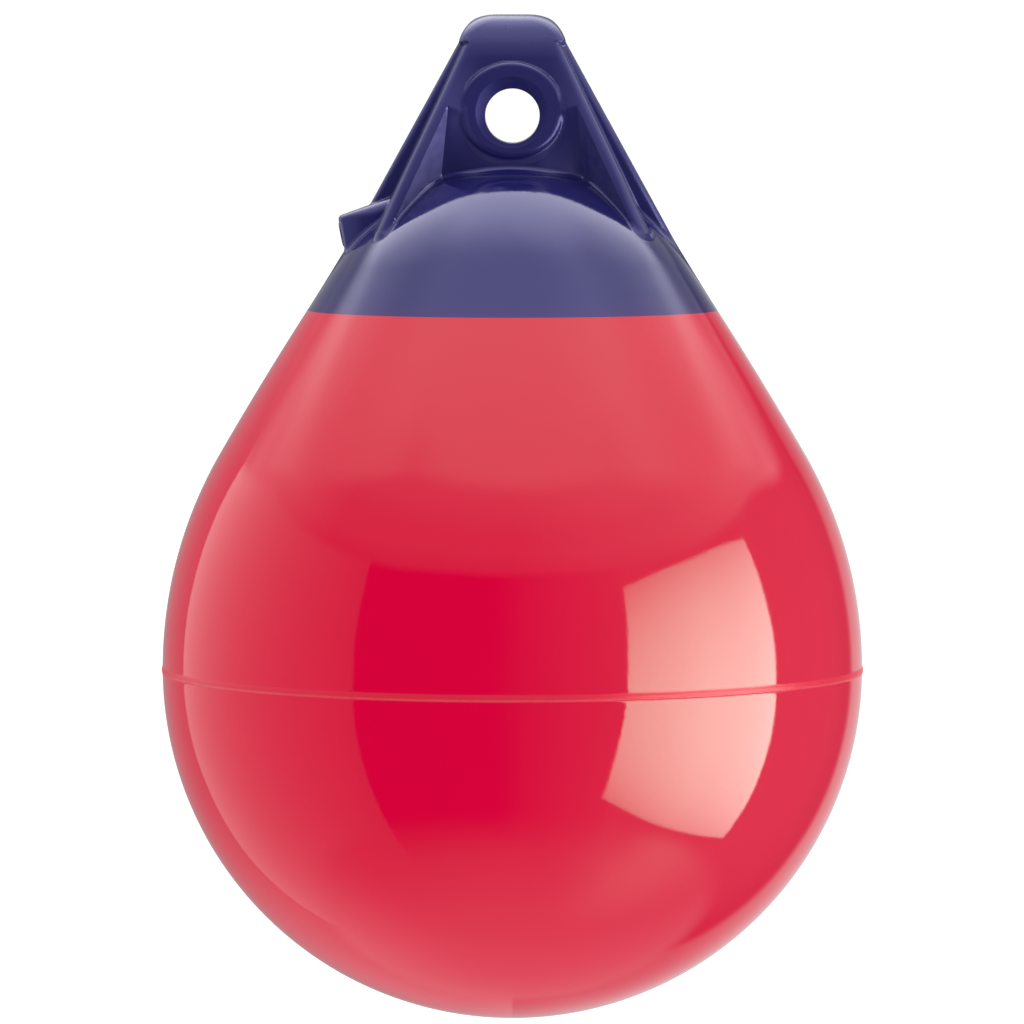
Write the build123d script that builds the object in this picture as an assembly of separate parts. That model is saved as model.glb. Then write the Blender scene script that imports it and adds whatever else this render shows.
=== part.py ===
from build123d import *
import os
from math import sin, cos, radians, sqrt

# Inflatable vinyl buoy: a red teardrop float whose top is a blue moulded rope head
# with an eye, four ribs and a valve lug. All lengths in mm.
# Frame: +Z up, front towards -Y, origin on the upright axis at the waterline of the empty float.
# The shapes are drawn from the centre of the rope eye and moved up to that frame at the end.

os.makedirs("parts", exist_ok=True)

# ---------------------------------------------------------------- driving dimensions
EYE_OVER_EQUATOR = 160.3   # eye centre above the widest circle of the float
FLOAT_R = 101.6            # radius of the ball, 8 in diameter
UPPER_R = 124.8            # arc above the widest circle
UPPER_END = 30.0           # deg, where that arc meets the long shoulder arc
SHOULDER_R = 1000.0        # nearly straight shoulder
SHOULDER_END = 33.7        # deg, where the shoulder meets the dome of the head
DOME_R = 68.5              # dome from there
DOME_END = 59.5            # deg, where its flatter top begins
WALL = 3.0                 # vinyl wall
COLOUR_LINE = 104.1        # blue over red, above the widest circle
SEAM_H = 0.3               # mould parting ridge, height, base and crest widths
SEAM_BASE = 2.2
SEAM_CREST = 0.8

# The soft head hangs back a little: each height is moved back by this much (z from the eye, shift)
LEAN = ((-46.0, 0.0), (-16.0, 0.53), (2.7, 2.6), (19.9, 4.86), (23.7, 5.36), (29.8, 6.17))

FLANGE_T = 9.0             # upright flange, the edges of the head seen from the front
FLANGE_SLOPE = 0.548       # half width gained per mm down
FLANGE_HALF = 27.14        # half width at the height of the eye
FLANGE_TOP = 21.5

CORE_SLOPE = 0.475         # crests of the four ribs, half width gained per mm down
CORE_HALF = 23.58
CORE_TOP = 23.6
FACE_T = 10.92             # half thickness of the head where its faces begin
FACE_Z = 19.9
FACE_SLOPE = 0.24          # half thickness gained per mm down
FOOT_Z = -46.0             # everything runs down into the float to here

TOP_Z = 29.8               # top of the head over the eye
TOP_CORNER_R = 11.6        # corners of the top block seen from the front
TOP_CORNER_X = 4.53
TOP_LOW = 20.9             # underside of the block's two ledges
CROWN_Z = 23.7             # where its crown begins, and the half thickness there
CROWN_T = 9.6

# pocket round and under the eye, front and back: z, depth of its floor, half width of its floor
POCKET = ((16.6, 11.45, 12.0), (-4.0, 12.77, 19.2), (FOOT_Z, 0.96, 23.4))
FACET = 0.70               # the facets beside it, sideways per mm forward

EYE_R = 7.9                # 5/8 in rope eye
BOSS_R = 14.8              # raised ring round the eye
BOSS_HALF = 13.4
BOSS_EDGE = 1.2
BOSS_AXIS = (-0.033, -1.0, 0.119)
SINK_R = 10.63             # mouth of the eye
SINK_DEPTH = 3.1
SINK_AXIS = (-0.02, -1.0, 0.08)

LUG_ROOT = (-30.0, -21.8)  # top of the valve lug seen from the front, x and z
LUG_TOP = (-50.5, -29.05)  # its outer face
LUG_LOW = (-48.35, -39.6)
LUG_HALF = 11.0            # half width of the lug at its root
LUG_CHEEK_R = 30.0         # its rounded cheeks seen from above
LUG_CHEEK_X = -32.5
LUG_R = 1.0
INSERT_R = 3.4
INSERT_L = 9.0
INSERT_PROUD = 0.3
SCREW_R = 1.6
SCREW_L = 7.5
SCREW_HEAD_R = 2.4
SCREW_HEAD_T = 1.0
SCREW_SUNK = 0.1
SLOT_W = 0.8
SLOT_DEPTH = 0.6

WATERLINE = 44.8           # above the lowest point, empty float upright in sea water

Z0 = -EYE_OVER_EQUATOR     # height of the widest circle in this frame

# ---------------------------------------------------------------- float profile (r, z over the widest circle)
C1 = (FLOAT_R - UPPER_R, 0.0)
P1 = (C1[0] + UPPER_R * cos(radians(UPPER_END)), UPPER_R * sin(radians(UPPER_END)))
C2 = (P1[0] - SHOULDER_R * cos(radians(UPPER_END)), P1[1] - SHOULDER_R * sin(radians(UPPER_END)))
P2 = (C2[0] + SHOULDER_R * cos(radians(SHOULDER_END)), C2[1] + SHOULDER_R * sin(radians(SHOULDER_END)))
C3 = (P2[0] - DOME_R * cos(radians(SHOULDER_END)), P2[1] - DOME_R * sin(radians(SHOULDER_END)))
P3 = (C3[0] + DOME_R * cos(radians(DOME_END)), C3[1] + DOME_R * sin(radians(DOME_END)))
CAP_R = P3[0] / cos(radians(DOME_END))
C4 = (0.0, P3[1] - CAP_R * sin(radians(DOME_END)))


def on(c, r, deg):
    return (c[0] + r * cos(radians(deg)), 0.0, c[1] + r * sin(radians(deg)) + Z0)


def arc(c, r, a, b):
    return ThreePointArc(on(c, r, a), on(c, r, (a + b) / 2), on(c, r, b))


def teardrop(inset):
    """Closed body of revolution, the float's outer shape drawn in by inset."""
    a0, a1, a2, a3, a4 = (r - inset for r in (FLOAT_R, UPPER_R, SHOULDER_R, DOME_R, CAP_R))
    outline = [
        arc((0, 0), a0, -90, 0),
        arc(C1, a1, 0, UPPER_END),
        arc(C2, a2, UPPER_END, SHOULDER_END),
        arc(C3, a3, SHOULDER_END, DOME_END),
        arc(C4, a4, DOME_END, 90),
        Line(on(C4, a4, 90), on((0, 0), a0, -90)),
    ]
    return revolve(make_face(Wire(outline)), Axis.Z, 360)


outer = teardrop(0)
inner = teardrop(WALL)
line_z = COLOUR_LINE + Z0

BIG = 400.0
above = Pos(0, 0, line_z + BIG / 2) * Box(BIG, BIG, BIG)
below = Pos(0, 0, line_z - BIG / 2) * Box(BIG, BIG, BIG)

# ---------------------------------------------------------------- red float: hollow shell with its parting ridge
seam_pts = [
    (FLOAT_R - 1.0, 0, Z0 - SEAM_BASE / 2),
    (FLOAT_R - 0.01, 0, Z0 - SEAM_BASE / 2),
    (FLOAT_R + SEAM_H, 0, Z0 - SEAM_CREST / 2),
    (FLOAT_R + SEAM_H, 0, Z0 + SEAM_CREST / 2),
    (FLOAT_R - 0.01, 0, Z0 + SEAM_BASE / 2),
    (FLOAT_R - 1.0, 0, Z0 + SEAM_BASE / 2),
]
seam = revolve(make_face(Polyline(*seam_pts, close=True)), Axis.Z, 360)
float_body = ((outer & below) + seam) - inner

# ---------------------------------------------------------------- blue head
def shift(z):
    """how far the head hangs back at a height"""
    for (za, sa), (zb, sb) in zip(LEAN, LEAN[1:]):
        if z <= zb:
            return sa + (sb - sa) * (z - za) / (zb - za)
    return LEAN[-1][1]


def face_t(z):
    return FACE_T + FACE_SLOPE * (FACE_Z - z)


def core_half(z):
    return CORE_HALF - CORE_SLOPE * z


def flange_half(z):
    return FLANGE_HALF - FLANGE_SLOPE * z


def across(points_or_edges, half):
    """Side profile in the YZ plane pushed out along X to both sides."""
    return extrude(make_face(Wire(points_or_edges)), half, dir=(1, 0, 0), both=True)


def path(points):
    return [Line(a, b) for a, b in zip(points, points[1:])]


# side profile of the head: leaning faces, then the round crown
low_knots = [z for z, s in LEAN if z <= FACE_Z]
front = [(0, -face_t(z) + shift(z), z) for z in low_knots]
back = [(0, face_t(z) + shift(z), z) for z in low_knots]
turn_z = (FACE_Z + CROWN_Z) / 2
turn_t = (FACE_T + CROWN_T) / 2 + 0.10
side_profile = path(front) + [
    ThreePointArc(front[-1], (0, -turn_t + shift(turn_z), turn_z), (0, -CROWN_T + shift(CROWN_Z), CROWN_Z)),
    ThreePointArc((0, -CROWN_T + shift(CROWN_Z), CROWN_Z), (0, shift(TOP_Z), TOP_Z), (0, CROWN_T + shift(CROWN_Z), CROWN_Z)),
    ThreePointArc((0, CROWN_T + shift(CROWN_Z), CROWN_Z), (0, turn_t + shift(turn_z), turn_z), back[-1]),
] + path(back[::-1]) + [Line(back[0], front[0])]
side = across(side_profile, 60)

# flange: its front outline, between two leaning faces
flange_knots = [z for z in low_knots] + [FLANGE_TOP]
f_front = [(0, -FLANGE_T / 2 + shift(z), z) for z in flange_knots]
f_back = [(0, FLANGE_T / 2 + shift(z), z) for z in flange_knots]
flange_side = across(path(f_front) + [Line(f_front[-1], f_back[-1])] + path(f_back[::-1]) + [Line(f_back[0], f_front[0])], 60)
flange_face = make_face(Polyline(
    (-flange_half(FLANGE_TOP), 0, FLANGE_TOP), (flange_half(FLANGE_TOP), 0, FLANGE_TOP),
    (flange_half(FOOT_Z), 0, FOOT_Z), (-flange_half(FOOT_Z), 0, FOOT_Z), close=True))
flange = extrude(flange_face, 60, dir=(0, 1, 0), both=True) & flange_side

# core between the four crests, and the block on top
core_face = make_face(Polyline(
    (-core_half(CORE_TOP), 0, CORE_TOP), (core_half(CORE_TOP), 0, CORE_TOP),
    (core_half(FOOT_Z), 0, FOOT_Z), (-core_half(FOOT_Z), 0, FOOT_Z), close=True))
core = extrude(core_face, 60, dir=(0, 1, 0), both=True) & side

cx, cz = TOP_CORNER_X, TOP_Z - TOP_CORNER_R
top_right = (cx + TOP_CORNER_R, 0, cz)
k = TOP_CORNER_R * cos(radians(45))
block_edges = [
    ThreePointArc(top_right, (cx + k, 0, cz + k), (cx, 0, TOP_Z)),
    Line((cx, 0, TOP_Z), (-cx, 0, TOP_Z)),
    ThreePointArc((-cx, 0, TOP_Z), (-cx - k, 0, cz + k), (-cx - TOP_CORNER_R, 0, cz)),
    Line((-cx - TOP_CORNER_R, 0, cz), top_right),
]
block = extrude(make_face(Wire(block_edges)), 60, dir=(0, 1, 0), both=True)
block = (block & (Pos(0, 0, TOP_LOW + 50) * Box(200, 200, 100))) & side

# pockets: the floor under the eye and its two slanting facets
REACH = 24.0


def pocket_row(row, s):
    z, depth, half = row
    y0, y1 = s * depth + shift(z), s * (depth + REACH) + shift(z)
    wide = half + FACET * REACH
    return make_face(Polyline((-half, y0, z), (half, y0, z), (wide, y1, z), (-wide, y1, z), close=True))


for s in (-1, 1):
    for high, low in zip(POCKET, POCKET[1:]):
        core = core - loft([pocket_row(low, s), pocket_row(high, s)], ruled=True)

# rounded-off feet of the ribs
for sx in (-1, 1):
    for sy in (-1, 1):
        foot = Plane(origin=(sx * 40.0, sy * 24.3, -36.4), z_dir=(sx * 0.418, sy * 0.224, -0.88))
        core = core - foot * Pos(0, 0, 10) * Box(40, 40, 20)

# ring round the eye, square to the leaning face
boss_at = Vector(0, shift(0), 0)
boss_dir = Vector(*BOSS_AXIS).normalized()
boss = Solid.make_cylinder(BOSS_R, 2 * BOSS_HALF, Plane(origin=boss_at - boss_dir * BOSS_HALF, z_dir=boss_dir))
boss = fillet(boss.edges().filter_by(GeomType.CIRCLE), BOSS_EDGE)
eye = extrude(Plane.XZ * Circle(EYE_R), 40, both=True)
mouths = []
for s in (1, -1):
    d = Vector(*SINK_AXIS).normalized() * s
    grow = (SINK_R - EYE_R) / SINK_DEPTH
    mouths.append(Solid.make_cone(EYE_R, EYE_R + grow * (SINK_DEPTH + 1.0), SINK_DEPTH + 1.0,
                                  Plane(origin=boss_at + d * (BOSS_HALF - SINK_DEPTH), z_dir=d)))

# valve lug on the left, between the two left ribs
lug_face = make_face(Polyline(
    (*LUG_ROOT[:1], 0, LUG_ROOT[1]), (LUG_TOP[0], 0, LUG_TOP[1]), (LUG_LOW[0], 0, LUG_LOW[1]),
    (LUG_ROOT[0], 0, LUG_LOW[1]), close=True))
lug = extrude(lug_face, 30, dir=(0, 1, 0), both=True)


def cheek(x, s):
    return (x, s * (sqrt(LUG_CHEEK_R ** 2 - (x - LUG_CHEEK_X) ** 2) - LUG_CHEEK_R + LUG_HALF), -30)


x_end, x_mid, x_in = LUG_TOP[0] - 1.0, (LUG_TOP[0] + LUG_CHEEK_X) / 2, LUG_ROOT[0] + 1.0
plan = [
    Line((x_in, -LUG_HALF, -30), cheek(LUG_CHEEK_X, -1)),
    ThreePointArc(cheek(LUG_CHEEK_X, -1), cheek(x_mid, -1), cheek(x_end, -1)),
    Line(cheek(x_end, -1), cheek(x_end, 1)),
    ThreePointArc(cheek(x_end, 1), cheek(x_mid, 1), cheek(LUG_CHEEK_X, 1)),
    Line(cheek(LUG_CHEEK_X, 1), (x_in, LUG_HALF, -30)),
    Line((x_in, LUG_HALF, -30), (x_in, -LUG_HALF, -30)),
]
lug = lug & extrude(make_face(Wire(plan)), 20, dir=(0, 0, 1), both=True)
lug = fillet(lug.edges().filter_by(lambda e: e.center().X < -32 and e.center().Z > -36), LUG_R)

face_h = sqrt((LUG_LOW[0] - LUG_TOP[0]) ** 2 + (LUG_LOW[1] - LUG_TOP[1]) ** 2)
valve_dir = ((LUG_LOW[1] - LUG_TOP[1]) / face_h, 0, -(LUG_LOW[0] - LUG_TOP[0]) / face_h)
valve_at = ((LUG_TOP[0] + LUG_LOW[0]) / 2, 0, (LUG_TOP[1] + LUG_LOW[1]) / 2)


def along(depth):
    """Plane across the valve axis, depth mm outside the lug's face."""
    return Plane(origin=(valve_at[0] + valve_dir[0] * depth, 0, valve_at[2] + valve_dir[2] * depth),
                 x_dir=(0, 1, 0), z_dir=valve_dir)


socket = Solid.make_cylinder(INSERT_R, INSERT_L + 4, along(-INSERT_L))

cap = outer & above
head = cap + flange
head = head + core
head = head + block
head = head + boss
head = head + lug
head = (head - inner) & above
head = head - eye - mouths[0] - mouths[1] - socket

# ---------------------------------------------------------------- valve
insert = Solid.make_cylinder(INSERT_R, INSERT_L + INSERT_PROUD, along(-INSERT_L))
top_at = INSERT_PROUD - SCREW_SUNK
insert = insert - Solid.make_cylinder(SCREW_R, SCREW_L + 1, along(top_at - SCREW_L))
insert = insert - Solid.make_cylinder(SCREW_HEAD_R, SCREW_HEAD_T + 1, along(top_at - SCREW_HEAD_T))

screw = Solid.make_cylinder(SCREW_R, SCREW_L, along(top_at - SCREW_L)) \
    + Solid.make_cylinder(SCREW_HEAD_R, SCREW_HEAD_T, along(top_at - SCREW_HEAD_T))
slot = along(top_at) * Box(SLOT_W, 4 * SCREW_HEAD_R, 2 * SLOT_DEPTH)
screw = screw - slot

# ---------------------------------------------------------------- write
up = Pos(0, 0, EYE_OVER_EQUATOR + FLOAT_R - WATERLINE)
pieces = dict(float_body=float_body, rope_head=head, valve_insert=insert, valve_screw=screw)
for name, shape in pieces.items():
    shape = up * shape
    solids = shape.solids()
    bb = shape.bounding_box()
    print(name, "solids", len(solids), "volume cm3 %.2f" % (sum(s.volume for s in solids) / 1000),
          "valid", all(s.is_valid for s in solids),
          "x %.1f..%.1f y %.1f..%.1f z %.1f..%.1f" % (bb.min.X, bb.max.X, bb.min.Y, bb.max.Y, bb.min.Z, bb.max.Z))
    export_step(solids[0] if len(solids) == 1 else Compound(children=list(solids)), "parts/%s.step" % name)
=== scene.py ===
import math
import bpy
import bmesh
import numpy as np
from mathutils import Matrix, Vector


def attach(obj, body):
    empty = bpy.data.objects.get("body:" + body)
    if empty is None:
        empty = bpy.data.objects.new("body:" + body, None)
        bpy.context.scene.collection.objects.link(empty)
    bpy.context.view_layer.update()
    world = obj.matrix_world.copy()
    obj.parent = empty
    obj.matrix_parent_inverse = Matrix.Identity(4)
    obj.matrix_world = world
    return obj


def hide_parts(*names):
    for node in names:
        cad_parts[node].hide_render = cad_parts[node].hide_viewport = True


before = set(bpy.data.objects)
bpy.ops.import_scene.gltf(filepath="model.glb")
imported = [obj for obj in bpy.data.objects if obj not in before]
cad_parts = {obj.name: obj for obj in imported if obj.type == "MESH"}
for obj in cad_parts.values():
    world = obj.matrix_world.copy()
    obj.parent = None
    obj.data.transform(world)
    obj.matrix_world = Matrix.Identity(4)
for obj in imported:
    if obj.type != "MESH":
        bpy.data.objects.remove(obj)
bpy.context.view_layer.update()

MM = 0.001
EYE_Z = 217.1            # centre of the rope eye over the waterline
EQUATOR = -160.3         # widest circle, from the eye
LINE = EQUATOR + 104.1   # blue over red

scene = bpy.context.scene

# ------------------------------------------------------------------ float profile, (r, z over the widest circle)
R0 = 101.6
R1, A1 = 124.8, math.radians(30.0)
R2, A2 = 1000.0, math.radians(33.7)
R3, A3 = 68.5, math.radians(59.5)
WALL = 3.0
C1 = (R0 - R1, 0.0)
P1 = (C1[0] + R1 * math.cos(A1), R1 * math.sin(A1))
C2 = (P1[0] - R2 * math.cos(A1), P1[1] - R2 * math.sin(A1))
P2 = (C2[0] + R2 * math.cos(A2), C2[1] + R2 * math.sin(A2))
C3 = (P2[0] - R3 * math.cos(A2), P2[1] - R3 * math.sin(A2))
P3 = (C3[0] + R3 * math.cos(A3), C3[1] + R3 * math.sin(A3))
R4 = P3[0] / math.cos(A3)
C4 = (0.0, P3[1] - R4 * math.sin(A3))


# ------------------------------------------------------------------ small helpers
def new_object(name, verts, faces, normals=None, smooth=True):
    me = bpy.data.meshes.new(name)
    me.from_pydata([tuple(v) for v in verts], [], [tuple(f) for f in faces])
    me.validate()
    me.update()
    if smooth:
        me.polygons.foreach_set("use_smooth", [True] * len(me.polygons))
    if normals is not None:
        me.normals_split_custom_set_from_vertices([tuple(n) for n in normals])
    ob = bpy.data.objects.new(name, me)
    scene.collection.objects.link(ob)
    return ob


# ------------------------------------------------------------------ red float: a lathe with its parting ridge
def float_mesh():
    half = 3.6                      # reach of the ridge's flanks
    steps = np.array([-3.6, -2.9, -2.3, -1.9, -1.6, -1.35, -1.15, -1.0, -0.85, -0.7, -0.55, -0.4, -0.25, -0.1,
                      0.05, 0.2, 0.35, 0.5, 0.65, 0.8, 1.0, 1.25, 1.6, 2.1, 2.8, 3.6])

    def ridge(s):
        """height of the parting ridge s mm over the parting plane: a low bead with a trimmed lip under its middle"""
        bead = 0.24 * np.exp(-(s / 0.85) ** 2)
        lip = 0.09 * np.exp(-((s + 0.62) / 0.20) ** 2)
        return bead + lip

    def dridge(s):
        e = 1e-3
        return (ridge(s + e) - ridge(s - e)) / (2 * e)

    rows = []                       # r, z over the widest circle, normal r, normal z
    a_half = half / R0
    for a in np.linspace(-math.pi / 2, -a_half, 72)[1:-1]:
        rows.append((R0 * math.cos(a), R0 * math.sin(a), math.cos(a), math.sin(a)))
    for s in steps:
        R, c = (R0, (0.0, 0.0)) if s < 0 else (R1, C1)
        a = s / R
        h = float(ridge(s))
        d = float(dridge(s))
        nr, nz = math.cos(a) + d * math.sin(a), math.sin(a) - d * math.cos(a)
        L = math.hypot(nr, nz)
        rows.append((c[0] + (R + h) * math.cos(a), c[1] + (R + h) * math.sin(a), nr / L, nz / L))
    for a in np.linspace(half / R1, A1, 34)[1:]:
        rows.append((C1[0] + R1 * math.cos(a), C1[1] + R1 * math.sin(a), math.cos(a), math.sin(a)))
    a_line = math.asin((104.1 - C2[1]) / R2)
    for a in np.linspace(A1, a_line, 22)[1:]:
        rows.append((C2[0] + R2 * math.cos(a), C2[1] + R2 * math.sin(a), math.cos(a), math.sin(a)))
    outer_n = len(rows)
    # inside of the wall, from the colour line back down
    a_in = math.asin((104.1 - C2[1]) / (R2 - WALL))
    for a in np.linspace(a_in, A1, 8):
        rows.append((C2[0] + (R2 - WALL) * math.cos(a), C2[1] + (R2 - WALL) * math.sin(a), -math.cos(a), -math.sin(a)))
    for a in np.linspace(A1, 0, 12)[1:]:
        rows.append((C1[0] + (R1 - WALL) * math.cos(a), C1[1] + (R1 - WALL) * math.sin(a), -math.cos(a), -math.sin(a)))
    for a in np.linspace(0, -math.pi / 2, 24)[1:-1]:
        rows.append(((R0 - WALL) * math.cos(a), (R0 - WALL) * math.sin(a), -math.cos(a), -math.sin(a)))

    n = 288
    th = np.arange(n) * 2 * math.pi / n
    verts, normals = [], []
    for i, (r, z, nr, nz) in enumerate(rows):
        zz = (z + EQUATOR + EYE_Z) * MM
        for t in th:
            verts.append((r * math.cos(t) * MM, r * math.sin(t) * MM, zz))
            normals.append((nr * math.cos(t), nr * math.sin(t), nz))
    faces = []
    for i in range(len(rows) - 1):
        for j in range(n):
            k = (j + 1) % n
            faces.append((i * n + j, i * n + k, (i + 1) * n + k, (i + 1) * n + j))
    bottom = len(verts)
    verts.append((0, 0, (EQUATOR + EYE_Z - R0) * MM))
    normals.append((0, 0, -1))
    inside = len(verts)
    verts.append((0, 0, (EQUATOR + EYE_Z - R0 + WALL) * MM))
    normals.append((0, 0, 1))
    last = (len(rows) - 1) * n
    for j in range(n):
        k = (j + 1) % n
        faces.append((bottom, k, j))
        faces.append((inside, last + j, last + k))
    return verts, faces, normals


# ------------------------------------------------------------------ blue head: one implicit surface, drawn from the eye in mm
def r_union(a, b, r):
    """union with a fillet of radius r"""
    return np.maximum(r, np.minimum(a, b)) - np.hypot(np.maximum(r - a, 0), np.maximum(r - b, 0))


def r_inter(a, b, r):
    """intersection with its edge rounded to radius r"""
    return np.minimum(-r, np.maximum(a, b)) + np.hypot(np.maximum(a + r, 0), np.maximum(b + r, 0))


def shell(x, y, z):
    r = np.hypot(x, y)
    h = z - EQUATOR
    cap = np.hypot(r, h - C4[1]) - R4
    dome = np.hypot(r - C3[0], h - C3[1]) - R3
    shoulder = np.hypot(r - C2[0], h - C2[1]) - R2
    d = np.where(np.arctan2(h - C3[1], r - C3[0]) >= A2, dome, shoulder)
    return np.where(np.arctan2(h - C4[1], r) >= A3, cap, d)


def smooth(v, a, b):
    t = np.clip((v - a) / (b - a), 0.0, 1.0)
    return t * t * (3.0 - 2.0 * t)


def lean(z):
    """how far the soft head hangs back at a height"""
    t = (z + 17.0) / 5.0
    return 0.6585 * np.logaddexp(0.0, t)


def crown(a, z, slope):
    """side profile of the head: round crown, a wider arc, then a plane of the given slope"""
    up = z - 19.2
    tip = np.hypot(a, up * (1.0 - 0.03 * smooth(up, 4.5, 10.8))) - 10.6
    arc = np.hypot(a + 8.526, z - 15.248) - 20.0
    run = 1.0 / math.hypot(1.0, slope)
    z0, a0 = 15.248 + 20.0 * slope * run, -8.526 + 20.0 * run
    plane = (a - a0 - slope * (z0 - z)) * run
    low = np.where(z - 15.248 > (a + 8.526) * slope, arc, plane)
    return np.where(up > a * 0.4663, tip, low)


def eased(v, a, b):
    """straight ramp from 0 at a to 1 at b, eased over its first and last fifth"""
    t = np.clip((v - a) / (b - a), 0.0, 1.0)
    u = np.minimum(t, 1.0 - t)
    f = np.where(u < 0.2, u * u / 0.4, u - 0.1) / 0.8
    return np.where(t > 0.5, 1.0 - f, f)


def sides(x, y, z):
    """the surfaces that meet in sharp edges: the head's face, the pocket's facet and floor, the ring, its flare, the throat"""
    ys = y - lean(z)
    a, ax = np.abs(ys), np.abs(x)
    edge = 23.58 - 0.475 * z
    fall = np.maximum(0.0, ax - edge + 3.0) ** 2 / 14.0 * smooth(z, 24.0, 17.0)
    rib = eased(ax, 8.5, 20.5)
    face = crown(a, z, 0.24) * rib + crown(a, z, 0.07) * (1.0 - rib) + 0.9 * fall
    slant = 13.891 + 0.281 * z
    facet = (a - slant - (ax - (18.77 - 0.1 * z)) * 1.428) / 1.79
    web = 11.6 + 0.6 * np.logaddexp(0.0, (z + 0.6) / 0.6)      # under the ring the floor is upright
    floor = (a - web - (slant - web) * eased(ax, 7.0, 19.5)) * 0.94
    ring = a - 13.7
    flare = (np.hypot(x - 0.02 * ys, z + 0.08 * ys) - 7.9 - (a - 10.6) * 0.79) * 0.785
    throat = np.hypot(x, z) - 7.9
    return face, facet, floor, ring, flare, throat


def head(x, y, z):
    ys = y - lean(z)
    a, ax = np.abs(ys), np.abs(x)
    # flange: the thin upright plate whose edges make the outline
    side = (ax - (27.14 - 0.548 * z)) / 1.1403
    flange = r_inter(side, a - 4.5, 2.0)
    flange = r_inter(flange, z - 23.5, 0.8)          # it ends inside the top block
    # core: the head's face, the pocket under the eye with its two facets, and the flanks
    edge = 23.58 - 0.475 * z
    face, facet, floor, ring, flare, throat = sides(x, y, z)
    core = np.maximum(face, np.minimum(floor, facet))
    soft = r_inter(face, floor, 0.35)
    core = core + (soft - np.maximum(face, floor)) * smooth(facet - floor, 0.0, 2.0)
    core = r_inter(core, (ax - edge) * 0.903, 1.5 + 1.5 * smooth(z, -8.0, -34.0))
    # rounded feet of the ribs on the dome
    foot = (ax - 40.0) * 0.418 + (a - 24.3) * 0.224 - (z + 34.6) * 0.88
    core = r_inter(core, foot, 2.4)
    core = np.maximum(core, z - 23.6)
    d = r_union(flange, core, 0.8)
    # top block
    outline = np.hypot(np.maximum(ax - 4.53, 0), 0.955 * np.maximum(z - 18.2, 0)) - 11.4
    outline = np.where((ax < 4.53) & (z < 18.2), -11.4, outline)
    block = r_inter(outline, crown(a, z, 0.24), 2.8)
    block = r_inter(block, 20.9 - z, 0.8)
    ledge = 0.9 * smooth(ax - edge, -0.8, 0.6) * smooth(ax - edge, 2.0, 1.1)   # only its ends stand proud of the core
    d = np.where(ledge > 0.02, r_union(d, block, np.maximum(ledge, 0.02)), np.minimum(d, block))
    # ring round the eye, a little wider than high
    bx, bz = x - 0.025 * ys, z + 0.135 * ys
    boss = r_inter(np.hypot(bx / 1.02, bz / 0.94) - 14.8, ring, 1.4 + 0.6 * smooth(z, -6.0, -11.0))
    d = r_union(d, boss, 0.5)
    # valve lug
    nx, nz = -7.25 / 21.744, 20.5 / 21.744
    top = (x + 30.0) * nx + (z + 21.8) * nz
    end = (x + 50.5) * (-10.55 / 10.767) + (z + 29.05) * (-2.15 / 10.767)
    cheek = np.hypot(np.minimum(x + 32.5, 0.0), np.abs(y) + 16.5) - 27.5
    lug = r_inter(top, cheek, 1.5 + 2.2 * smooth(x, -50.0, -39.0))
    lug = r_inter(lug, end, 1.0)
    lug = np.maximum(lug, np.maximum(-41.5 - z, x + 29.5))
    d = r_union(d, lug, 0.6)
    # onto the dome, with a wider fillet under the eye
    r = np.hypot(x, y)
    flat_top = 0.8 * smooth(r, 27.0, 6.0) - 0.35 * np.exp(-((r - 24.0) / 8.5) ** 2)
    d = r_union(d, shell(x, y, z) + flat_top, 1.3 + 0.8 * smooth(ax, 34.0, 16.0))
    # eye with its flared mouths
    return np.maximum(d, -np.minimum(throat, flare))


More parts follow.
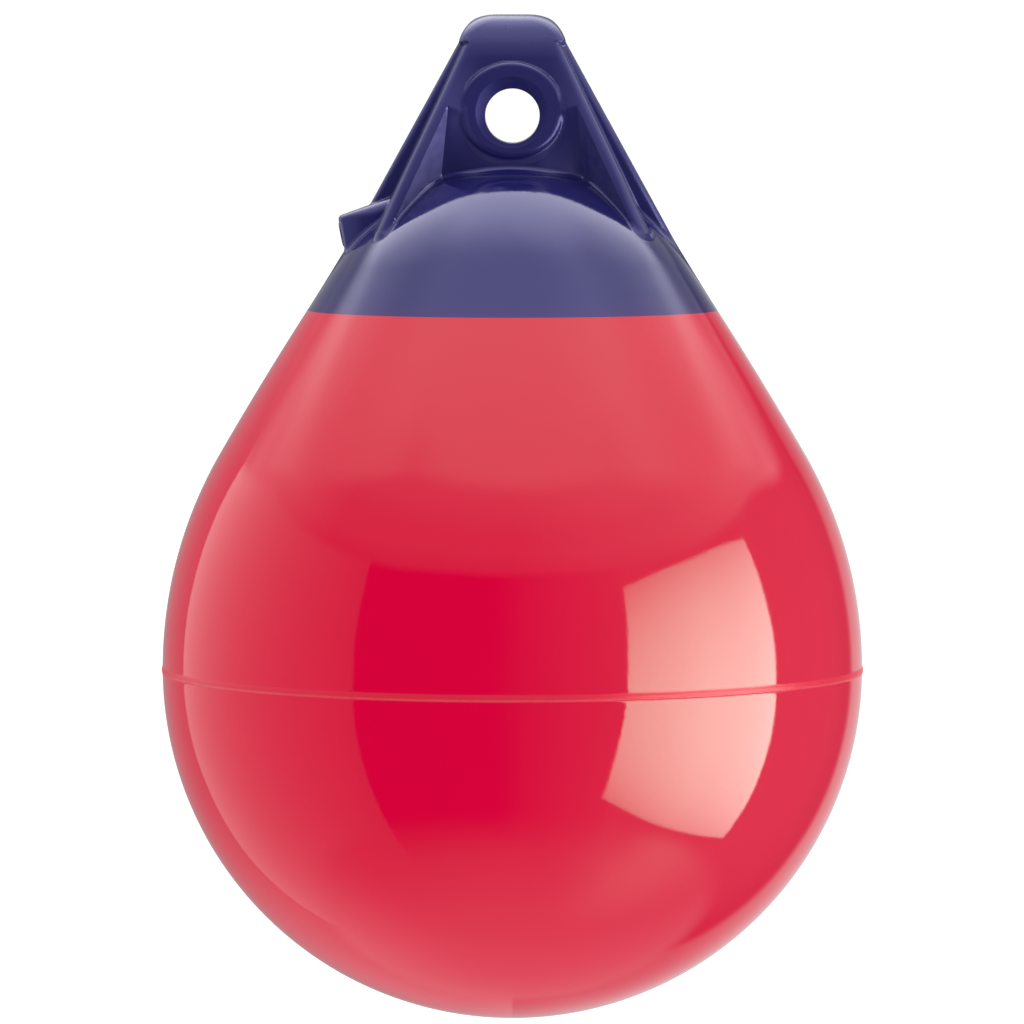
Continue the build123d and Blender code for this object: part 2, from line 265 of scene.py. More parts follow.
def polygonise(f, lo, hi, h):
    """Surface nets on a regular grid, with each vertex moved onto the surface."""
    nx, ny, nz = (int(math.ceil((b - a) / h)) + 1 for a, b in zip(lo, hi))
    X = lo[0] + h * np.arange(nx)
    Y = lo[1] + h * np.arange(ny)
    Z = lo[2] + h * np.arange(nz)
    V = np.empty((nx, ny, nz), np.float32)
    for k in range(0, nx, 16):
        gx, gy, gz = np.meshgrid(X[k:k + 16], Y, Z, indexing="ij")
        V[k:k + 16] = f(gx, gy, gz)
    S = V < 0
    cx, cy, cz = nx - 1, ny - 1, nz - 1
    total = np.zeros((cx, cy, cz), np.uint8)
    for a in (0, 1):
        for b in (0, 1):
            for c in (0, 1):
                total += S[a:a + cx, b:b + cy, c:c + cz]
    active = (total > 0) & (total < 8)
    index = -np.ones((cx, cy, cz), np.int64)
    index[active] = np.arange(active.sum())
    I, J, K = np.nonzero(active)
    acc = np.zeros((len(I), 3))
    cnt = np.zeros(len(I))
    corners = [(a, b, c) for a in (0, 1) for b in (0, 1) for c in (0, 1)]
    for p in corners:
        for axis in range(3):
            if p[axis]:
                continue
            q = list(p)
            q[axis] = 1
            vp = V[I + p[0], J + p[1], K + p[2]].astype(float)
            vq = V[I + q[0], J + q[1], K + q[2]].astype(float)
            m = (vp < 0) != (vq < 0)
            t = np.where(m, vp / np.where(m, vp - vq, 1.0), 0.0)
            pt = np.tile(np.array(p, float), (len(I), 1))
            pt[:, axis] = t
            acc[m] += pt[m]
            cnt[m] += 1
    P = np.stack([X[0] + h * I, Y[0] + h * J, Z[0] + h * K], 1) + h * acc / cnt[:, None]

    def grad(Q, e=0.05):
        g = np.empty_like(Q)
        for a in range(3):
            d = np.zeros(3)
            d[a] = e
            A, B = Q + d, Q - d
            g[:, a] = (f(A[:, 0], A[:, 1], A[:, 2]) - f(B[:, 0], B[:, 1], B[:, 2])) / (2 * e)
        return g

    for _ in range(4):
        v = f(P[:, 0], P[:, 1], P[:, 2])
        g = grad(P)
        step = v / np.maximum((g * g).sum(1), 0.2)
        P = P - np.clip(step, -0.4 * h, 0.4 * h)[:, None] * g
    g = grad(P)
    N = g / np.maximum(np.linalg.norm(g, axis=1, keepdims=True), 1e-9)

    faces = []
    # an edge along x at (i, j, k) is shared by the cells (i, j-1..j, k-1..k), and so on
    E = S[:-1, 1:-1, 1:-1] != S[1:, 1:-1, 1:-1]
    i, j, k = np.nonzero(E)
    j, k = j + 1, k + 1
    up = S[i, j, k]
    q = np.stack([index[i, j - 1, k - 1], index[i, j, k - 1], index[i, j, k], index[i, j - 1, k]], 1)
    faces.append(np.where(up[:, None], q, q[:, ::-1]))
    E = S[1:-1, :-1, 1:-1] != S[1:-1, 1:, 1:-1]
    i, j, k = np.nonzero(E)
    i, k = i + 1, k + 1
    up = S[i, j, k]
    q = np.stack([index[i - 1, j, k - 1], index[i - 1, j, k], index[i, j, k], index[i, j, k - 1]], 1)
    faces.append(np.where(up[:, None], q, q[:, ::-1]))
    E = S[1:-1, 1:-1, :-1] != S[1:-1, 1:-1, 1:]
    i, j, k = np.nonzero(E)
    i, j = i + 1, j + 1
    up = S[i, j, k]
    q = np.stack([index[i - 1, j - 1, k], index[i, j - 1, k], index[i, j, k], index[i - 1, j, k]], 1)
    faces.append(np.where(up[:, None], q, q[:, ::-1]))
    return P, np.concatenate(faces), N


CREST, ROOT, RIM, LIP = (0, 1), (1, 2), (3, 4), (4, 5)     # pairs of those surfaces


def both_sides(Q, pair):
    """values and gradients of the two surfaces of a pair, at the points Q"""
    e = 0.02
    vals = sides(Q[:, 0], Q[:, 1], Q[:, 2])
    grads = np.empty((2, len(Q), 3))
    for a in range(3):
        d = np.zeros(3)
        d[a] = e
        A, B = Q + d, Q - d
        hi, lo = sides(A[:, 0], A[:, 1], A[:, 2]), sides(B[:, 0], B[:, 1], B[:, 2])
        for s, k in enumerate(pair):
            grads[s, :, a] = (hi[k] - lo[k]) / (2 * e)
    return (vals[pair[0]], vals[pair[1]]), grads


def on_edge(Q, pair, tol):
    """points that lie on a sharp edge of this pair and clear of the fillet on the dome"""
    x, y, z = Q[:, 0], Q[:, 1], Q[:, 2]
    v = sides(x, y, z)
    at = (np.abs(v[pair[0]]) < tol) & (np.abs(v[pair[1]]) < tol)
    other = {CREST: v[1] < v[2] - 0.3, ROOT: v[0] < -0.3, RIM: v[5] > 0.3, LIP: v[3] < -0.3}[pair]
    return at & other & (np.abs(head(x, y, z)) < 0.02) & (shell(x, y, z) > 1.35)


def snap(P, h, pair):
    """move the vertices beside a sharp edge onto it"""
    near = np.where(on_edge(P, pair, 0.6 * h))[0]
    Q = P[near]
    for _ in range(5):
        (c0, c1), (g0, g1) = both_sides(Q, pair)
        a, b, c = (g0 * g0).sum(1), (g0 * g1).sum(1), (g1 * g1).sum(1)
        det = np.maximum(a * c - b * b, 1e-6)
        l0, l1 = (c * c0 - b * c1) / det, (a * c1 - b * c0) / det
        Q = Q - l0[:, None] * g0 - l1[:, None] * g1
    keep_it = (np.linalg.norm(Q - P[near], axis=1) < 0.75 * h) & on_edge(Q, pair, 1e-3)
    P = P.copy()
    P[near[keep_it]] = Q[keep_it]
    mask = np.zeros(len(P), bool)
    mask[near[keep_it]] = True
    return P, mask


def head_object():
    step = 0.64
    P, F, N = polygonise(head, (-61.3, -60.6, -58.5), (61.3, 60.6, 31.5), step)
    crest = np.zeros(len(P), bool)
    for pair in (CREST, ROOT, RIM, LIP):
        P, done = snap(P, step, pair)
        crest |= done
    faces = []
    for f in F.tolist():
        c = [bool(crest[i]) for i in f]
        if c[0] and c[2] and not (c[1] and c[3]):
            faces += [(f[0], f[1], f[2]), (f[0], f[2], f[3])]
        elif c[1] and c[3] and not (c[0] and c[2]):
            faces += [(f[1], f[2], f[3]), (f[1], f[3], f[0])]
        else:
            faces.append(tuple(f))
    P[:, 2] += EYE_Z
    me = bpy.data.meshes.new("rope_head_moulding")
    me.from_pydata([tuple(p) for p in P * MM], [], faces)
    bm = bmesh.new()
    bm.from_mesh(me)
    cut = bmesh.ops.bisect_plane(bm, geom=bm.verts[:] + bm.edges[:] + bm.faces[:], dist=1e-7,
                                 plane_co=(0, 0, (LINE + EYE_Z) * MM), plane_no=(0, 0, -1), clear_outer=True)
    rim = [e for e in bm.edges if e.is_boundary]
    bmesh.ops.triangle_fill(bm, use_beauty=True, edges=rim, normal=(0, 0, -1))
    bm.normal_update()
    bm.to_mesh(me)
    bm.free()
    me.polygons.foreach_set("use_smooth", [True] * len(me.polygons))
    me.update()
    # exact normals on the moulded surface, flat ones on the hidden joint face
    co = np.empty(len(me.vertices) * 3)
    me.vertices.foreach_get("co", co)
    co = co.reshape(-1, 3) / MM
    co[:, 2] -= EYE_Z
    e = 0.05

    def outward(Q):
        g = np.empty_like(Q)
        for a in range(3):
            d = np.zeros(3)
            d[a] = e
            A, B = Q + d, Q - d
            g[:, a] = head(A[:, 0], A[:, 1], A[:, 2]) - head(B[:, 0], B[:, 1], B[:, 2])
        return g / np.maximum(np.linalg.norm(g, axis=1, keepdims=True), 1e-9)

    g = outward(co)
    v = np.abs(np.array(sides(co[:, 0], co[:, 1], co[:, 2])))
    sharp = np.zeros(len(co), bool)
    for i, j in (CREST, ROOT, RIM, LIP):
        sharp |= (v[i] < 0.3 * step) & (v[j] < 0.3 * step)
    sharp &= shell(co[:, 0], co[:, 1], co[:, 2]) > 0.6
    # at a sharp edge each face keeps the normal of its own side
    inward, where, plain = [], [], []
    for p in me.polygons:
        for li in p.loop_indices:
            vi = me.loops[li].vertex_index
            if sharp[vi]:
                mid = np.array(p.center) / MM
                mid[2] -= EYE_Z
                inward.append(co[vi] + 0.4 * (mid - co[vi]))
                where.append(li)
                plain.append(tuple(p.normal))
    own, plain = outward(np.array(inward)), np.array(plain)
    own = np.where(((own * plain).sum(1) < 0.93)[:, None], plain, own)      # where an edge runs out
    side = dict(zip(where, own))
    loops = []
    for p in me.polygons:
        flat = p.normal.z < -0.999 and abs(p.center.z - (LINE + EYE_Z) * MM) < 1e-6
        for li in p.loop_indices:
            vi = me.loops[li].vertex_index
            loops.append(tuple(p.normal) if flat else tuple(side.get(li, g[vi])))
    me.normals_split_custom_set(loops)
    print("head: %d faces, %d edge vertices" % (len(me.polygons), int(sharp.sum())))
    ob = bpy.data.objects.new("rope_head_moulding", me)
    scene.collection.objects.link(ob)
    return ob


# ------------------------------------------------------------------ node helpers
class Tree:
    def __init__(self, nt):
        self.nt = nt

    def node(self, kind, **inputs):
        n = self.nt.nodes.new(kind)
        for k, v in inputs.items():
            if k.startswith("p_"):
                setattr(n, k[2:], v)
        return n

    def put(self, socket, v):
        if isinstance(v, bpy.types.NodeSocket):
            self.nt.links.new(v, socket)
        elif v is not None:
            socket.default_value = v

    def math(self, op, a, b=None, c=None, clamp=False):
        n = self.nt.nodes.new("ShaderNodeMath")
        n.operation = op
        n.use_clamp = clamp
        for s, v in zip(n.inputs, (a, b, c)):
            self.put(s, v)
        return n.outputs[0]

    def ramp(self, v, a, b, lo=0.0, hi=1.0, smooth=True):
        n = self.nt.nodes.new("ShaderNodeMapRange")
        n.interpolation_type = "SMOOTHSTEP" if smooth else "LINEAR"
        self.put(n.inputs["Value"], v)
        for k, x in zip(("From Min", "From Max", "To Min", "To Max"), (a, b, lo, hi)):
            self.put(n.inputs[k], x)
        return n.outputs[0]

    def mix(self, fac, a, b):
        n = self.nt.nodes.new("ShaderNodeMix")
        n.data_type = "RGBA"
        self.put(n.inputs[0], fac)
        self.put(n.inputs[6], a)
        self.put(n.inputs[7], b)
        return n.outputs[2]

    def noise(self, vec, scale, detail=2.0, rough=0.5):
        n = self.nt.nodes.new("ShaderNodeTexNoise")
        self.put(n.inputs["Vector"], vec)
        n.inputs["Scale"].default_value = scale
        n.inputs["Detail"].default_value = detail
        n.inputs["Roughness"].default_value = rough
        return n.outputs[0]

    def bump(self, height, strength, distance, normal=None):
        n = self.nt.nodes.new("ShaderNodeBump")
        n.inputs["Strength"].default_value = strength
        n.inputs["Distance"].default_value = distance
        self.put(n.inputs["Height"], height)
        if normal is not None:
            self.put(n.inputs["Normal"], normal)
        return n.outputs[0]


def material(name):
    m = bpy.data.materials.new(name)
    m.use_nodes = True
    nt = m.node_tree
    nt.nodes.clear()
    out = nt.nodes.new("ShaderNodeOutputMaterial")
    bsdf = nt.nodes.new("ShaderNodeBsdfPrincipled")
    nt.links.new(bsdf.outputs[0], out.inputs[0])
    return m, Tree(nt), bsdf


def srgb(r, g, b):
    def lin(c):
        c /= 255.0
        return c / 12.92 if c <= 0.04045 else ((c + 0.055) / 1.055) ** 2.4
    return (lin(r), lin(g), lin(b), 1.0)


# ------------------------------------------------------------------ materials
def red_vinyl():
    m, t, b = material("red_vinyl_gloss")
    pos = t.node("ShaderNodeTexCoord").outputs["Object"]
    sep = t.node("ShaderNodeSeparateXYZ")
    t.put(sep.inputs[0], pos)
    z = sep.outputs[2]
    # pigment: slow drift over the wall, a little paler towards the blue
    drift = t.noise(pos, 9.0, 3.0)
    col = t.mix(t.ramp(drift, 0.35, 0.65), (0.735, 0.0006, 0.045, 1), (0.765, 0.0010, 0.049, 1))
    fine = t.noise(pos, 160.0, 3.0)
    col = t.mix(t.ramp(fine, 0.3, 0.75, 0.0, 0.06), col, (0.67, 0.0006, 0.038, 1))
    pale = t.ramp(z, 0.115, 0.160, 0.0, 1.0)
    col = t.mix(t.math("MULTIPLY", pale, 0.10), col, (0.78, 0.16, 0.18, 1))
    # bead of the parting line, where the flash was trimmed
    zc = (EQUATOR + EYE_Z) * MM
    s = t.math("SUBTRACT", z, zc)
    bead = t.ramp(t.math("ABSOLUTE", s), 0.0014, 0.0008)
    trim = t.ramp(t.math("ABSOLUTE", t.math("ADD", s, 0.00062)), 0.00042, 0.00012)
    ragged = t.noise(pos, 420.0, 2.0)
    trim = t.math("MULTIPLY", trim, t.ramp(ragged, 0.25, 0.6, 0.6, 1.0))
    col = t.mix(t.math("MULTIPLY", trim, 0.30), col, (0.90, 0.12, 0.14, 1))
    t.put(b.inputs["Base Color"], col)
    # gloss: polished mould, slightly uneven
    rough = t.ramp(t.noise(pos, 26.0, 4.0), 0.3, 0.7, 0.03, 0.055)
    rough = t.math("ADD", rough, t.math("MULTIPLY", bead, 0.30))
    t.put(b.inputs["Roughness"], rough)
    b.inputs["IOR"].default_value = 1.5
    b.inputs["Specular Tint"].default_value = (0.55, 1.0, 0.77, 1)
    # slow waves of the wall, fine mould texture, nicks on the ridge
    waves = t.noise(pos, 14.0, 2.0)
    grain = t.noise(pos, 900.0, 2.0)
    nick = t.math("MULTIPLY", t.noise(pos, 700.0, 2.0), trim)
    n1 = t.bump(waves, 0.35, 0.0012)
    n2 = t.bump(grain, 0.02, 0.0002, n1)
    n3 = t.bump(nick, 0.5, 0.0003, n2)
    t.put(b.inputs["Normal"], n3)
    return m


def blue_vinyl():
    m, t, b = material("blue_vinyl_gloss")
    pos = t.node("ShaderNodeTexCoord").outputs["Object"]
    sep = t.node("ShaderNodeSeparateXYZ")
    t.put(sep.inputs[0], pos)
    z = sep.outputs[2]
    drift = t.noise(pos, 22.0, 3.0)
    col = t.mix(t.ramp(drift, 0.35, 0.65), (0.0155, 0.0142, 0.104, 1), (0.0180, 0.0165, 0.116, 1))
    # red has bled a few mm up into the blue
    wob = t.math("MULTIPLY", t.math("SUBTRACT", t.noise(pos, 45.0, 3.0), 0.5), 0.004)
    zl = t.math("ADD", t.math("SUBTRACT", z, (LINE + EYE_Z) * MM), wob)
    bleed = t.ramp(zl, 0.0060, -0.001, 0.0, 1.0)
    col = t.mix(t.math("MULTIPLY", bleed, 0.40), col, (0.060, 0.014, 0.120, 1))
    # scuffs on top of the head
    scuff = t.ramp(t.noise(pos, 520.0, 4.0, 0.7), 0.64, 0.72)
    high = t.ramp(z, 0.235, 0.243)
    scuff = t.math("MULTIPLY", scuff, high)
    col = t.mix(t.math("MULTIPLY", scuff, 0.5), col, (0.16, 0.15, 0.26, 1))
    # the slanted facets beside the eye are matt and dusty, where nothing rubs them; their paler colour is partly real
    # dust and partly painted light from the softbox
    nrm = t.node("ShaderNodeNewGeometry").outputs["Normal"]
    nsep = t.node("ShaderNodeSeparateXYZ")
    t.put(nsep.inputs[0], nrm)
    slanted = t.ramp(t.math("ABSOLUTE", nsep.outputs[0]), 0.60, 0.74)
    slanted = t.math("MULTIPLY", slanted, t.ramp(t.math("ABSOLUTE", nsep.outputs[1]), 0.36, 0.50))
    slanted = t.math("MULTIPLY", slanted, t.ramp(nsep.outputs[2], 0.02, -0.06))
    slanted = t.math("MULTIPLY", slanted, t.ramp(z, 0.178, 0.186))
    over = t.math("SUBTRACT", z, (EYE_Z + 1.0) * MM)
    from_eye = t.math("SQRT", t.math("ADD", t.math("POWER", sep.outputs[0], 2.0), t.math("POWER", over, 2.0)))
    slanted = t.math("MULTIPLY", slanted, t.ramp(from_eye, 0.0135, 0.0155))
    # the mouths of the eye, where the rope rubs
    mouth = t.math("MULTIPLY", t.ramp(from_eye, 0.0128, 0.0120), t.ramp(t.math("ABSOLUTE", nsep.outputs[1]), 0.90, 0.78))
    mouth = t.math("MULTIPLY", mouth, t.ramp(t.math("ABSOLUTE", nsep.outputs[1]), 0.20, 0.45))
    mottle = t.ramp(t.noise(pos, 380.0, 4.0, 0.6), 0.35, 0.65)
    # mottled dust plus painted light: the left facet is painted paler than the right, as if lit by the softbox
    dust_and_painted_light = t.math("MULTIPLY", slanted, t.ramp(mottle, 0.0, 1.0, 0.30, 0.75))
    dust_and_painted_light = t.math("MULTIPLY", dust_and_painted_light, t.ramp(sep.outputs[0], 0.005, -0.005, 0.25, 1.0))
    col = t.mix(dust_and_painted_light, col, (0.085, 0.080, 0.230, 1))
    # painted highlight low on the facets, mostly on the left one
    low = t.math("MULTIPLY", slanted, t.ramp(z, 0.208, 0.196, 0.0, 0.45))
    low = t.math("MULTIPLY", low, t.ramp(sep.outputs[0], 0.005, -0.005, 0.10, 1.0))
    col = t.mix(low, col, (0.130, 0.125, 0.300, 1))
    col = t.mix(t.math("MULTIPLY", mouth, t.ramp(mottle, 0.0, 1.0, 0.05, 0.14)), col, (0.070, 0.066, 0.190, 1))
    # painted shade in the two notches under the ends of the top block: their downward faces are darkened, and made
    # rougher
    notch = t.math("MULTIPLY", t.ramp(t.math("ABSOLUTE", sep.outputs[0]), 0.0126, 0.0134), t.ramp(nsep.outputs[2], 0.10, -0.10))
    notch = t.math("MULTIPLY", notch, t.math("MULTIPLY", t.ramp(z, 0.2345, 0.2355), t.ramp(z, 0.2395, 0.2388)))
    col = t.mix(t.math("MULTIPLY", notch, 0.8), col, (0.012, 0.011, 0.060, 1))
    t.put(b.inputs["Base Color"], col)
    # the dome is polished, the head on it is not
    rough = t.ramp(t.noise(pos, 40.0, 4.0), 0.3, 0.7, 0.06, 0.10)
    far = t.node("ShaderNodeVectorMath")
    far.operation = "DISTANCE"
    t.put(far.inputs[0], pos)
    far.inputs[1].default_value = (0, 0, (C4[1] + EQUATOR + EYE_Z) * MM)
    off = t.math("MULTIPLY", t.ramp(far.outputs["Value"], (R4 + 1.0) * MM, (R4 + 2.4) * MM), t.ramp(z, 0.1725, 0.1765))
    rough = t.math("ADD", rough, t.math("MULTIPLY", off, 0.17))
    rough = t.math("ADD", rough, t.math("MULTIPLY", mouth, 0.09))
    rub = t.math("MULTIPLY", t.ramp(from_eye, 0.0124, 0.0132), t.ramp(from_eye, 0.0160, 0.0152))     # edge of the ring
    rub = t.math("MULTIPLY", rub, t.ramp(z, EYE_Z * MM + 0.004, EYE_Z * MM - 0.002))
    rough = t.math("ADD", rough, t.math("MULTIPLY", rub, 0.14))
    rough = t.math("ADD", rough, t.math("MULTIPLY", scuff, 0.2))
    rough = t.math("ADD", rough, t.math("MULTIPLY", notch, 0.55))
    rough = t.math("ADD", rough, t.math("MULTIPLY", slanted, t.ramp(mottle, 0.0, 1.0, 0.14, 0.30)))
    t.put(b.inputs["Roughness"], rough)
    b.inputs["IOR"].default_value = 1.69
    b.inputs["Specular Tint"].default_value = (0.62, 0.60, 1.0, 1)
    waves = t.noise(pos, 40.0, 2.0)
    grain = t.noise(pos, 1100.0, 2.0)
    n1 = t.bump(waves, 0.25, 0.0006)
    n2 = t.bump(grain, 0.05, 0.0002, n1)
    n3 = t.bump(scuff, -0.4, 0.0002, n2)
    t.put(b.inputs["Normal"], n3)
    return m


def nylon(name, dark, light, rough_lo, rough_hi):
    m, t, b = material(name)
    pos = t.node("ShaderNodeTexCoord").outputs["Object"]
    col = t.mix(t.ramp(t.noise(pos, 240.0, 3.0), 0.35, 0.65), dark, light)
    t.put(b.inputs["Base Color"], col)
    t.put(b.inputs["Roughness"], t.ramp(t.noise(pos, 600.0, 3.0), 0.3, 0.7, rough_lo, rough_hi))
    t.put(b.inputs["Normal"], t.bump(t.noise(pos, 2500.0, 2.0), 0.15, 0.0001))
    return m


def floor_paint():
    m, t, b = material("stage_floor")
    pos = t.node("ShaderNodeTexCoord").outputs["Object"]
    t.put(b.inputs["Base Color"], t.mix(t.noise(pos, 3.0, 3.0), (0.86, 0.86, 0.86, 1), (0.90, 0.90, 0.90, 1)))
    b.inputs["Roughness"].default_value = 0.9
    b.inputs["Specular IOR Level"].default_value = 0.1
    b.inputs["Emission Color"].default_value = (1, 1, 1, 1)
    b.inputs["Emission Strength"].default_value = 0.19
    return m


# ------------------------------------------------------------------ camera
CAM_D = 2.209
CAM_H = (EYE_Z + 27.9) * MM
AIM_H = (EYE_Z - 114.9) * MM
PX = 0.2903 * MM
cam_data = bpy.data.cameras.new("camera")
cam = bpy.data.objects.new("camera", cam_data)
scene.collection.objects.link(cam)
cam.location = (0, -CAM_D, CAM_H)
aim = Vector((0, 0, AIM_H))
cam.rotation_euler = (aim - cam.location).to_track_quat("-Z", "Y").to_euler()
cam_data.sensor_fit = "HORIZONTAL"
cam_data.sensor_width = 36.0
cam_data.lens = 36.0 * (aim - cam.location).length / (1024 * PX)
cam_data.shift_x = -0.4 / 1024
cam_data.clip_start = 0.05
cam_data.clip_end = 60
scene.camera = cam

# ------------------------------------------------------------------ the object
verts, faces, normals = float_mesh()
float_ob = new_object("float_shell", verts, faces, normals)
float_ob.data.materials.append(red_vinyl())
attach(float_ob, "root")
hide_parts("float_body")

head_ob = head_object()
head_ob.data.materials.append(blue_vinyl())
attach(head_ob, "root")
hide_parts("rope_head")

black = nylon("valve_nylon", (0.012, 0.012, 0.014, 1), (0.02, 0.02, 0.023, 1), 0.35, 0.5)
white = nylon("screw_nylon", (0.55, 0.54, 0.50, 1), (0.66, 0.65, 0.61, 1), 0.35, 0.5)
for node, mat in (("valve_insert", black), ("valve_screw", white)):
    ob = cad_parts[node]
    for s in ob.material_slots:
        s.material = mat

# ------------------------------------------------------------------ stage
bpy.ops.mesh.primitive_grid_add(x_subdivisions=8, y_subdivisions=8, size=1)
floor = bpy.context.object
floor.name = "stage_floor"
floor.scale = (14, 14, 1)
floor.location = (0, 3.0, -0.120)
floor.data.materials.append(floor_paint())
floor.visible_glossy = False
floor.visible_shadow = False
floor.visible_diffuse = False

# ------------------------------------------------------------------ studio light: white camera surround, soft panels all round
world = bpy.data.worlds.new("studio")
scene.world = world
world.use_nodes = True
nt = world.node_tree
nt.nodes.clear()
t = Tree(nt)
out = nt.nodes.new("ShaderNodeOutputWorld")
direction = t.node("ShaderNodeTexCoord").outputs["Generated"]
sep = t.node("ShaderNodeSeparateXYZ")
t.put(sep.inputs[0], direction)
dx, dy, dz = sep.outputs
DEG = 180 / math.pi
az = t.math("MULTIPLY", t.math("ARCTAN2", dx, t.math("MULTIPLY", dy, -1.0)), DEG)
el = t.math("MULTIPLY", t.math("ARCSINE", dz), DEG)


def panel(caz, cel):
    """coordinates on a flat panel facing the object from azimuth caz, elevation cel"""
    a, e = math.radians(caz), math.radians(cel)
    n = (math.sin(a) * math.cos(e), -math.cos(a) * math.cos(e), math.sin(e))
    u = (math.cos(a), math.sin(a), 0.0)
    v = (-math.sin(a) * math.sin(e), math.cos(a) * math.sin(e), math.cos(e))

    def dot(w):
        return t.math("ADD", t.math("ADD", t.math("MULTIPLY", dx, w[0]), t.math("MULTIPLY", dy, w[1])), t.math("MULTIPLY", dz, w[2]))
    dn = dot(n)
    safe = t.math("MAXIMUM", dn, 0.02)
    return t.math("DIVIDE", dot(u), safe), t.math("DIVIDE", dot(v), safe), t.ramp(dn, 0.05, 0.1)


def inside(v, lo, hi, soft):
    return t.math("MULTIPLY", t.ramp(v, lo - soft, lo + soft), t.ramp(v, hi - soft, hi + soft, 1.0, 0.0))


def mul(*xs):
    r = xs[0]
    for x in xs[1:]:
        r = t.math("MULTIPLY", r, x)
    return r


def add(*xs):
    r = xs[0]
    for x in xs[1:]:
        r = t.math("ADD", r, x)
    return r


def line(v, a, b, lo, hi):
    return t.ramp(v, a, b, lo, hi, smooth=False)


def keep(mask, x):
    return mul(t.math("SUBTRACT", 1.0, mask), x)


aaz = t.math("ABSOLUTE", az)
# softbox on the right of the camera
u, v, facing = panel(70, -8)
box_mask = mul(inside(u, -0.64, 0.49, 0.010), inside(v, -0.70, 0.66, 0.010), facing)
v_off = t.math("ADD", v, 0.04)
softbox = mul(box_mask, 10.6, line(u, -0.64, -0.05, 0.66, 1.0), t.math("SUBTRACT", 1.0, mul(1.25, v_off, v_off)))
# middle band: long reflector on the left, dark camera side, grey wall on the right, card behind on the right
far = line(az, -54.0, -137.0, 0.0, 1.0)
left = mul(inside(az, -137.5, -53.0, 0.7), add(0.36, mul(0.70, far)),
           add(1.0, mul(0.62, far, t.ramp(el, -20.0, 32.0))))
front = mul(inside(az, -30.0, 39.0, 2.0), line(az, -6.0, 37.0, 0.0, 0.44))
right = mul(inside(az, 39.0, 146.0, 2.5), line(az, 96.0, 142.0, 0.60, 0.17))
to_right = t.ramp(dx, -0.10, 0.12)
card = mul(t.ramp(az, 144.0, 152.0), t.ramp(el, 19.0, -6.0, 0.21, 0.73), t.ramp(el, -18.0, -42.0, 1.0, 0.75))
back_left = mul(t.ramp(az, -137.0, -138.5), t.ramp(el, -14.0, -46.0, 0.37, 0.66))
behind = t.ramp(aaz, 165.0, 179.0)
back = add(mul(card, t.math("SUBTRACT", 1.0, mul(behind, t.math("SUBTRACT", 1.0, to_right)))),
           mul(back_left, t.math("SUBTRACT", 1.0, mul(behind, to_right))),
           mul(behind, t.math("SUBTRACT", 1.0, to_right), t.ramp(az, 0.0, 1.0), 0.38),
           mul(behind, to_right, t.ramp(az, 0.0, -1.0), 0.80))
band = add(left, front, right, back)
# wall over it, then the big overhead diffuser, brightest behind the object
sill = t.math("SUBTRACT", 27.0, mul(9.0, t.ramp(aaz, 105.0, 145.0)))
over_sill = t.ramp(t.math("SUBTRACT", el, sill), -1.2, 1.6)
wall = add(t.ramp(el, 26.0, 34.0, 0.28, 0.48), mul(0.26, t.ramp(el, 36.0, 48.0)),
           line(az, 0.0, 100.0, 0.0, 0.85), line(az, -72.0, -114.0, 0.0, 0.82))
wall = mul(wall, t.ramp(aaz, 128.0, 140.0, 1.0, 0.42))
lip = t.math("SUBTRACT", 51.5, mul(0.33, t.math("MINIMUM", t.math("MAXIMUM", t.math("SUBTRACT", aaz, 52.0), 0.0), 68.0)))
lip = add(lip, mul(6.0, t.ramp(az, 128.0, 150.0)))
over_lip = t.ramp(t.math("SUBTRACT", el, lip), -4.5, 4.5)
deep = t.math("ADD", dy, mul(1.2, t.math("SUBTRACT", dz, 0.82)))
overhead = add(t.ramp(deep, -0.15, 0.55, 1.58, 3.5), mul(0.30, t.ramp(az, 20.0, 80.0), t.ramp(dy, 0.3, -0.2)))
overhead = mul(overhead, t.math("SUBTRACT", 1.0, mul(0.24, inside(aaz, 79.0, 132.0, 16.0), t.ramp(el, 72.0, 56.0), t.ramp(el, 31.0, 37.0))))
upper = add(keep(over_lip, wall), mul(over_lip, overhead))
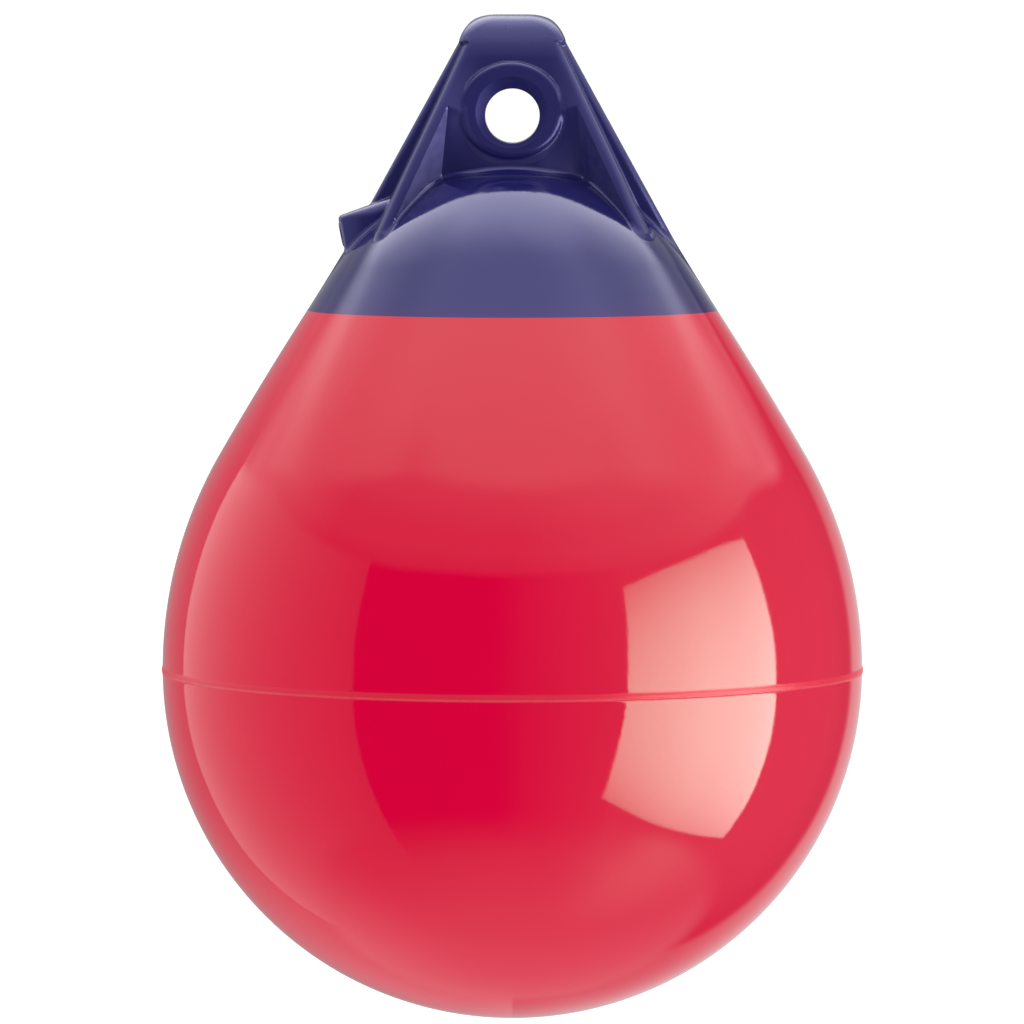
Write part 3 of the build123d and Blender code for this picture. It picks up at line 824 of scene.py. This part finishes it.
# floor: soft start in front, glow under the softbox and the left reflector
glow_r = t.math("EXPONENT", mul(-1.0, t.math("POWER", t.math("DIVIDE", t.math("SUBTRACT", az, 70.0), 30.0), 2.0)))
glow_l = t.math("EXPONENT", mul(-1.0, t.math("POWER", t.math("DIVIDE", t.math("ADD", az, 128.0), 34.0), 2.0)))
ground = add(0.40, mul(0.30, t.ramp(aaz, 70.0, 150.0)), mul(1.22, glow_r), mul(0.28, glow_l))
nadir = t.ramp(el, -48.0, -84.0)
ground = add(keep(nadir, ground), mul(nadir, 0.78))
start = add(mul(t.ramp(el, -41.0, -60.0), t.ramp(aaz, 75.0, 45.0)),
            mul(t.ramp(el, -42.0, -49.0), t.ramp(aaz, 45.0, 75.0)))
lower = mul(start, ground)
env = add(keep(box_mask, add(keep(over_sill, keep(start, band)), mul(over_sill, upper), lower)), softbox)

glossy_bg = t.node("ShaderNodeBackground")
t.put(glossy_bg.inputs["Strength"], env)
soft_bg = t.node("ShaderNodeBackground")
t.put(soft_bg.inputs["Strength"], add(0.95, mul(0.06, dx), mul(0.85, t.math("MAXIMUM", dy, 0.0))))
white_bg = t.node("ShaderNodeBackground")
white_bg.inputs["Strength"].default_value = 1.05
for n in (glossy_bg, soft_bg, white_bg):
    n.inputs["Color"].default_value = (1, 1, 1, 1)
path = t.node("ShaderNodeLightPath")
mix_a = t.node("ShaderNodeMixShader")
t.put(mix_a.inputs[0], path.outputs["Is Glossy Ray"])
nt.links.new(soft_bg.outputs[0], mix_a.inputs[1])
nt.links.new(glossy_bg.outputs[0], mix_a.inputs[2])
mix_b = t.node("ShaderNodeMixShader")
t.put(mix_b.inputs[0], path.outputs["Is Camera Ray"])
nt.links.new(mix_a.outputs[0], mix_b.inputs[1])
nt.links.new(white_bg.outputs[0], mix_b.inputs[2])
nt.links.new(mix_b.outputs[0], out.inputs["Surface"])
world.cycles.sampling_method = "NONE"

scene.view_settings.view_transform = "Standard"
scene.view_settings.look = "None"
scene.view_settings.exposure = 0.0
